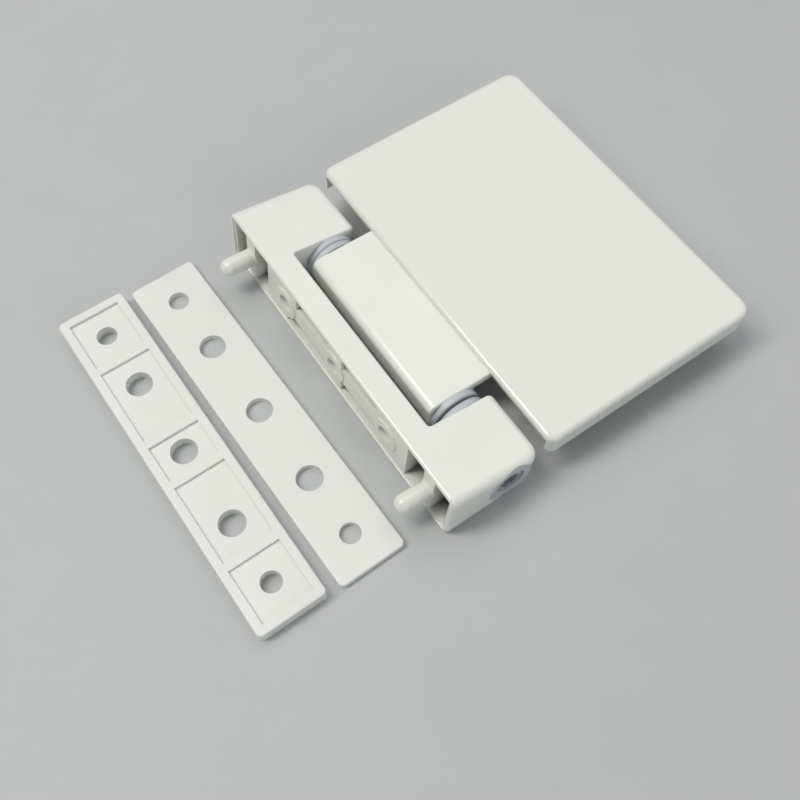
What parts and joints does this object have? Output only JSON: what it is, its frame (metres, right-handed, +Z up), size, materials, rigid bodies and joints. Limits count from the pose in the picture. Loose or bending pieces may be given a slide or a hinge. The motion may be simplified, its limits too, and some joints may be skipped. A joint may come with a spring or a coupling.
{
  "type": "flag hinge",
  "caption": "White flag hinge: a hollow frame leaf with locating pegs and a covered sash leaf that swings on a bushed pin, with its packers laid beside it.",
  "frame": {"origin": "middle of the frame leaf's mounting face, at its centre screw hole", "axes": "+X from the mounting face towards the flag, +Y along the pin towards its upper end, +Z up with the hinge lying on the frame leaf's tapered side and on the sash leaf's pegs"},
  "size_m": [0.1504, 0.1061, 0.0178],
  "materials": {
    "coated_casting": "smooth white powder coat",
    "cover_plastic": "smooth satin-gloss white",
    "packer_plastic": "moulded satin white",
    "bush_plastic": "moulded grey",
    "pin_steel": "ground",
    "screw_steel": "zinc plated"
  },
  "bodies": {
    "frame": {"frame_leaf": "coated_casting", "frame_bush_upper": "bush_plastic", "frame_bush_lower": "bush_plastic", "pivot_pin": "pin_steel", "packer_thick": "packer_plastic", "packer_thin": "packer_plastic"},
    "sash": {"sash_leaf": "coated_casting", "cover_cap": "cover_plastic", "knuckle_bush_upper": "bush_plastic", "knuckle_bush_lower": "bush_plastic"},
    "upper_screw": {"height_screw_upper": "screw_steel"},
    "lower_screw": {"height_screw_lower": "screw_steel"}
  },
  "joints": [
    {"name": "leaf_swing", "type": "hinge", "parent": "frame", "child": "sash", "pos_m": [0.01879, 0, -0.00154], "axis": [0, -1, 0], "range_deg": [-94.7, 85.3]},
    {"name": "upper_screw_turn", "type": "hinge", "parent": "frame", "child": "upper_screw", "pos_m": [0.01879, 0.04775, -0.00154], "axis": [0, 1, 0], "range_deg": [-180, 180]},
    {"name": "lower_screw_turn", "type": "hinge", "parent": "frame", "child": "lower_screw", "pos_m": [0.01879, -0.04775, -0.00154], "axis": [0, -1, 0], "range_deg": [-180, 180]}
  ]
}
